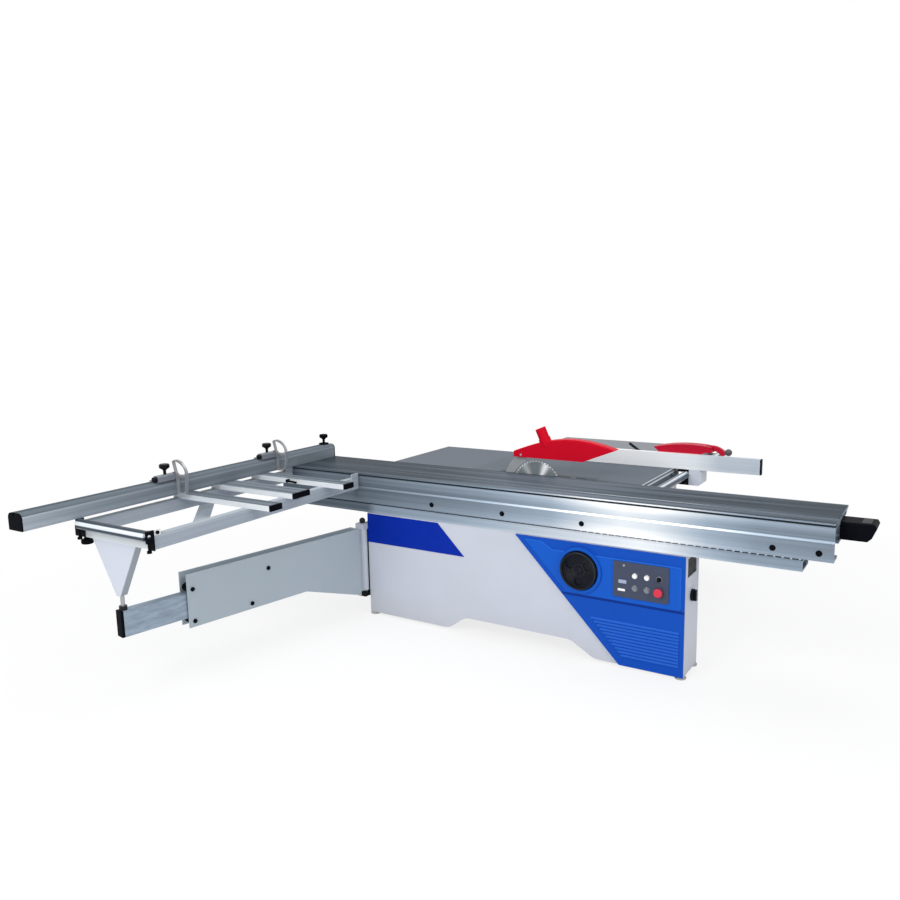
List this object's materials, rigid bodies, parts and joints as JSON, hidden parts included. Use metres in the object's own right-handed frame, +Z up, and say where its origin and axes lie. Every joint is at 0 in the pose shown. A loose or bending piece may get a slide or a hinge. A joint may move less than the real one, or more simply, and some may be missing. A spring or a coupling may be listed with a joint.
{
  "type": "sliding table panel saw",
  "caption": "Sliding table panel saw with a long carriage, outrigger with crosscut fence and flip stops, swing arm, tilting saw unit and rip fence.",
  "frame": {"origin": "on the floor under the middle of the machine's outer box", "axes": "+X to the operator's end along the carriage, +Y across to the rip fence, +Z up"},
  "size_m": [3.347, 3.548, 1.1492],
  "materials": {
    "aluminium": "extruded, satin",
    "pale_paint": "powder coat",
    "blue_paint": "satin paint",
    "red_paint": "gloss paint",
    "grey_paint": "satin paint",
    "table_iron": "ground",
    "dark_iron": "cast",
    "steel": "brushed",
    "chrome": "polished",
    "black_plastic": "moulded",
    "dark_plate": "moulded",
    "white_button": "gloss",
    "grey_button": "gloss",
    "red_button": "gloss",
    "belt_rubber": "matt"
  },
  "bodies": {
    "base": {"cabinet_front": "pale_paint", "cabinet_ends": "pale_paint", "saw_frame": "pale_paint", "levelling_feet": "dark_iron", "blue_fascia": "blue_paint", "label_panel": "blue_paint", "control_plate": "dark_plate", "base_beam": "aluminium", "main_table": "table_iron", "table_insert": "aluminium", "rear_table": "grey_paint", "side_table": "grey_paint", "table_struts": "pale_paint", "rip_rail": "chrome", "arm_hinge_blocks": "dark_iron", "tilt_saddles": "dark_iron", "tilt_gearbox": "grey_paint"},
    "cage": {"roller_cage": "steel"},
    "carriage": {"carriage_profile": "aluminium", "push_handle": "black_plastic", "outrigger_beams": "aluminium", "cross_bars": "aluminium", "bar_caps": "black_plastic", "outrigger_leg": "pale_paint", "roller_brackets": "black_plastic"},
    "outfeed_roller": {"end_roller": "aluminium"},
    "fence": {"crosscut_fence": "aluminium", "fence_end_caps": "black_plastic", "fence_clamp": "black_plastic"},
    "stop_1": {"stop_body_1": "aluminium"},
    "stop_1_loop": {"stop_arm_1": "aluminium"},
    "stop_2": {"stop_body_2": "aluminium"},
    "stop_2_loop": {"stop_arm_2": "aluminium"},
    "arm": {"swing_arm": "pale_paint", "arm_rollers": "steel"},
    "tube": {"arm_tube": "aluminium", "tube_end_cap": "black_plastic"},
    "rip": {"rip_slider": "aluminium", "rip_profile": "aluminium", "rip_casting": "red_paint"},
    "rip_clamp": {"rip_lever": "red_paint"},
    "tilt": {"tilt_cradle": "dark_iron", "scoring_motor": "grey_paint"},
    "scorer": {"scoring_blade": "steel"},
    "lift": {"lift_carrier": "dark_iron", "main_motor": "grey_paint", "drive_belt": "belt_rubber", "riving_knife": "steel"},
    "arbor": {"saw_arbor": "steel", "main_blade": "steel"},
    "pulley": {"motor_pulley": "dark_iron"},
    "guard": {"guard_hood": "red_paint"},
    "wheel": {"handwheel": "black_plastic"},
    "button_1": {"push_button_1": "white_button"},
    "button_2": {"push_button_2": "white_button"},
    "button_3": {"push_button_3": "grey_button"},
    "button_4": {"push_button_4": "grey_button"},
    "selector": {"selector_knob": "black_plastic"},
    "stop_button": {"emergency_stop": "red_button"},
    "isolator": {"isolator_knob": "black_plastic"}
  },
  "joints": [
    {"name": "carriage_slide", "type": "slide", "parent": "base", "child": "carriage", "axis": [1, 0, 0], "range_m": [-0.4, 1.6]},
    {"name": "cage_slide", "type": "slide", "parent": "base", "child": "cage", "axis": [1, 0, 0], "range_m": [-0.2, 0.8]},
    {"name": "arm_swing", "type": "hinge", "parent": "base", "child": "arm", "pos_m": [-1.068, 0.02, 0.35], "axis": [0, 0, 1], "range_deg": [-13.5, 53]},
    {"name": "arm_extend", "type": "slide", "parent": "arm", "child": "tube", "axis": [-0.1916, -0.9815, 0], "range_m": [-0.12, 0.475]},
    {"name": "end_roller_spin", "type": "hinge", "parent": "carriage", "child": "outfeed_roller", "pos_m": [-1.317, -1.498, 0.845], "axis": [1, 0, 0], "continuous": true},
    {"name": "fence_swivel", "type": "hinge", "parent": "carriage", "child": "fence", "pos_m": [-1.615, 0.335, 0.87], "axis": [0, 0, 1], "range_deg": [0, 45]},
    {"name": "stop_1_slide", "type": "slide", "parent": "fence", "child": "stop_1", "axis": [0, 1, 0], "range_m": [-0.55, 0.45]},
    {"name": "stop_1_flip", "type": "hinge", "parent": "stop_1", "child": "stop_1_loop", "pos_m": [-1.579, -0.9095, 0.975], "axis": [0, -1, 0], "range_deg": [0, 95]},
    {"name": "stop_2_slide", "type": "slide", "parent": "fence", "child": "stop_2", "axis": [0, 1, 0], "range_m": [-0.45, 0.35]},
    {"name": "stop_2_flip", "type": "hinge", "parent": "stop_2", "child": "stop_2_loop", "pos_m": [-1.579, -0.1575, 0.975], "axis": [0, -1, 0], "range_deg": [0, 95]},
    {"name": "rip_slide", "type": "slide", "parent": "base", "child": "rip", "axis": [0, 1, 0], "range_m": [-0.34, 0.7]},
    {"name": "rip_lever_turn", "type": "hinge", "parent": "rip", "child": "rip_clamp", "pos_m": [0.718, 0.99, 0.99], "axis": [0, -1, 0], "range_deg": [0, 35]},
    {"name": "saw_tilt", "type": "hinge", "parent": "base", "child": "tilt", "pos_m": [0, 0.42, 0.87], "axis": [-1, 0, 0], "range_deg": [0, 45]},
    {"name": "saw_lift", "type": "slide", "parent": "tilt", "child": "lift", "axis": [0, 0, 1], "range_m": [-0.085, 0.01]},
    {"name": "blade_spin", "type": "hinge", "parent": "lift", "child": "arbor", "pos_m": [-0.105, 0.42, 0.8], "axis": [0, 1, 0], "continuous": true},
    {"name": "motor_spin", "type": "hinge", "parent": "lift", "child": "pulley", "pos_m": [0.015, 0.575, 0.625], "axis": [0, 1, 0], "continuous": true},
    {"name": "scoring_spin", "type": "hinge", "parent": "tilt", "child": "scorer", "pos_m": [0.12, 0.42, 0.8115], "axis": [0, 1, 0], "continuous": true},
    {"name": "guard_pivot", "type": "hinge", "parent": "lift", "child": "guard", "pos_m": [-0.19, 0.42, 0.982], "axis": [0, -1, 0], "range_deg": [0, 20]},
    {"name": "handwheel_turn", "type": "hinge", "parent": "base", "child": "wheel", "pos_m": [0.338, 0, 0.482], "axis": [0, 1, 0], "range_deg": [0, 900]},
    {"name": "button_1_press", "type": "slide", "parent": "base", "child": "button_1", "axis": [0, 1, 0], "range_m": [0, 0.004], "stiffness_N_per_m": 300},
    {"name": "button_2_press", "type": "slide", "parent": "base", "child": "button_2", "axis": [0, 1, 0], "range_m": [0, 0.004], "stiffness_N_per_m": 300},
    {"name": "button_3_press", "type": "slide", "parent": "base", "child": "button_3", "axis": [0, 1, 0], "range_m": [0, 0.004], "stiffness_N_per_m": 300},
    {"name": "button_4_press", "type": "slide", "parent": "base", "child": "button_4", "axis": [0, 1, 0], "range_m": [0, 0.004], "stiffness_N_per_m": 300},
    {"name": "selector_turn", "type": "hinge", "parent": "base", "child": "selector", "pos_m": [0.757, 0, 0.498], "axis": [0, 1, 0], "range_deg": [-45, 45]},
    {"name": "emergency_press", "type": "slide", "parent": "base", "child": "stop_button", "axis": [0, 1, 0], "range_m": [0, 0.006]},
    {"name": "isolator_turn", "type": "hinge", "parent": "base", "child": "isolator", "pos_m": [0.89, 0.131, 0.405], "axis": [1, 0, 0], "range_deg": [0, 90]}
  ],
  "couplings": [
    {"joint": "cage_slide", "follows": "carriage_slide", "ratio": 0.5},
    {"joint": "arm_swing", "follows": "carriage_slide", "rad_per_m": 0.576},
    {"joint": "arm_extend", "follows": "carriage_slide", "ratio": 0.2957},
    {"joint": "motor_spin", "follows": "blade_spin", "ratio": 0.53333},
    {"joint": "handwheel_turn", "follows": "saw_tilt", "ratio": 20}
  ]
}
